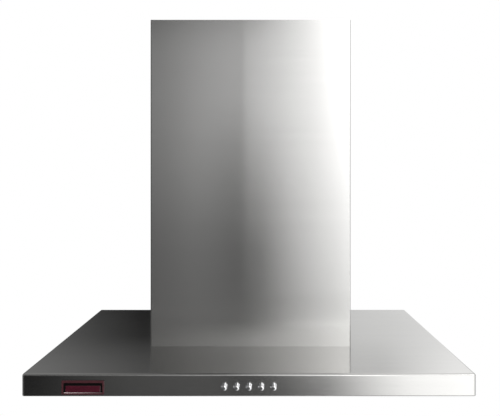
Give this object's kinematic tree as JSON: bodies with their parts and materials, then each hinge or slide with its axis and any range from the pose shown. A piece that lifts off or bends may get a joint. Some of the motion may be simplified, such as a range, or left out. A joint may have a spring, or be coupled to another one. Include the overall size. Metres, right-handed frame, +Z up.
{
  "type": "flat range hood",
  "caption": "Flat wall-mounted range hood: a thin brushed-steel canopy with a box chimney, round push buttons, hinged grease filters, blower and duct collar.",
  "frame": {"origin": "on the wall plane, at the centre of the four wall fixing holes in the back of the blower box", "axes": "+Z up, +X to the right as seen from the front, +Y from the front into the wall"},
  "size_m": [0.6, 0.458, 0.532],
  "materials": {
    "stainless": "horizontally brushed stainless sheet",
    "galvanised": "galvanised sheet",
    "zinc_screws": "zinc-plated steel",
    "chrome": "mirror chrome",
    "spring_steel": "bright spring steel",
    "red_enamel": "gloss dark red enamel",
    "black_plastic": "moulded black",
    "white_plastic": "moulded off-white",
    "grey_plastic": "moulded grey",
    "aluminium": "satin",
    "frosted_glass": "frosted",
    "foam_rubber": "closed-cell foam",
    "bronze": "bare bronze and copper",
    "laminated_iron": "stacked laminations"
  },
  "bodies": {
    "hood": {"badge_plate": "red_enamel", "blower_box": "galvanised", "blower_gasket": "foam_rubber", "body_screws": "zinc_screws", "button_guide": "black_plastic", "button_springs": "spring_steel", "cable_gland": "black_plastic", "canopy_shell": "stainless", "capacitor": "white_plastic", "collar_plate": "galvanised", "damper_pin": "spring_steel", "filter_keepers": "spring_steel", "lamp_capsules": "frosted_glass", "lamp_glass_left": "frosted_glass", "lamp_glass_right": "frosted_glass", "lamp_housing_left": "galvanised", "lamp_housing_right": "galvanised", "lamp_ring_left": "chrome", "lamp_ring_right": "chrome", "lamp_sockets": "white_plastic", "lamp_transformer": "white_plastic", "lower_chimney": "stainless", "motor_bearings": "bronze", "motor_bracket": "galvanised", "motor_bushes": "foam_rubber", "motor_shell_front": "aluminium", "motor_shell_rear": "aluminium", "outlet_collar": "black_plastic", "pan_rails": "galvanised", "pan_screws": "zinc_screws", "scroll_left": "black_plastic", "scroll_right": "black_plastic", "stator_coils": "bronze", "stator_core": "laminated_iron", "switch_block": "white_plastic", "terminal_box": "black_plastic", "terminal_lid": "black_plastic", "underside_pan": "stainless"},
    "upper_chimney": {"upper_chimney": "stainless", "chimney_bracket": "galvanised", "bracket_screws": "zinc_screws"},
    "rotor": {"impeller": "black_plastic", "impeller_nut": "zinc_screws", "motor_shaft": "spring_steel", "rotor_core": "laminated_iron"},
    "damper_front": {"damper_flap_front": "black_plastic"},
    "damper_rear": {"damper_flap_rear": "black_plastic"},
    "button_light": {"button_light": "chrome"},
    "button_stop": {"button_stop": "chrome"},
    "button_speed_1": {"button_speed_1": "chrome"},
    "button_speed_2": {"button_speed_2": "chrome"},
    "button_speed_3": {"button_speed_3": "chrome"},
    "filter_left": {"filter_frame_left": "aluminium", "filter_mesh_left": "aluminium", "latch_spring_left": "spring_steel"},
    "latch_left": {"filter_latch_left": "grey_plastic"},
    "filter_right": {"filter_frame_right": "aluminium", "filter_mesh_right": "aluminium", "latch_spring_right": "spring_steel"},
    "latch_right": {"filter_latch_right": "grey_plastic"}
  },
  "joints": [
    {"name": "chimney_extend", "type": "slide", "parent": "hood", "child": "upper_chimney", "axis": [0, 0, 1], "range_m": [0, 0.4]},
    {"name": "rotor_spin", "type": "hinge", "parent": "hood", "child": "rotor", "pos_m": [0, -0.1105, -0.0255], "axis": [1, 0, 0], "continuous": true},
    {"name": "damper_front_swing", "type": "hinge", "parent": "hood", "child": "damper_front", "pos_m": [0, -0.15, 0.16605], "axis": [-1, 0, 0], "range_deg": [0, 75]},
    {"name": "damper_rear_swing", "type": "hinge", "parent": "hood", "child": "damper_rear", "pos_m": [0, -0.15, 0.16605], "axis": [1, 0, 0], "range_deg": [0, 75]},
    {"name": "button_light_push", "type": "slide", "parent": "hood", "child": "button_light", "axis": [0, 1, 0], "range_m": [0, 0.0025], "stiffness_N_per_m": 400, "springref_m": -0.002, "deforming": ["button_springs"]},
    {"name": "button_stop_push", "type": "slide", "parent": "hood", "child": "button_stop", "axis": [0, 1, 0], "range_m": [0, 0.0025], "stiffness_N_per_m": 400, "springref_m": -0.002, "deforming": ["button_springs"]},
    {"name": "button_speed_1_push", "type": "slide", "parent": "hood", "child": "button_speed_1", "axis": [0, 1, 0], "range_m": [0, 0.0025], "stiffness_N_per_m": 400, "springref_m": -0.002, "deforming": ["button_springs"]},
    {"name": "button_speed_2_push", "type": "slide", "parent": "hood", "child": "button_speed_2", "axis": [0, 1, 0], "range_m": [0, 0.0025], "stiffness_N_per_m": 400, "springref_m": -0.002, "deforming": ["button_springs"]},
    {"name": "button_speed_3_push", "type": "slide", "parent": "hood", "child": "button_speed_3", "axis": [0, 1, 0], "range_m": [0, 0.0025], "stiffness_N_per_m": 400, "springref_m": -0.002, "deforming": ["button_springs"]},
    {"name": "filter_left_tilt", "type": "hinge", "parent": "hood", "child": "filter_left", "pos_m": [-0.133, -0.048, -0.169], "axis": [1, 0, 0], "range_deg": [0, 70], "deforming": ["filter_keepers"]},
    {"name": "latch_left_slide", "type": "slide", "parent": "filter_left", "child": "latch_left", "axis": [0, 1, 0], "range_m": [0, 0.005], "stiffness_N_per_m": 500, "springref_m": -0.003, "deforming": ["latch_spring_left"]},
    {"name": "filter_right_tilt", "type": "hinge", "parent": "hood", "child": "filter_right", "pos_m": [0.133, -0.048, -0.169], "axis": [1, 0, 0], "range_deg": [0, 70], "deforming": ["filter_keepers"]},
    {"name": "latch_right_slide", "type": "slide", "parent": "filter_right", "child": "latch_right", "axis": [0, 1, 0], "range_m": [0, 0.005], "stiffness_N_per_m": 500, "springref_m": -0.003, "deforming": ["latch_spring_right"]}
  ]
}
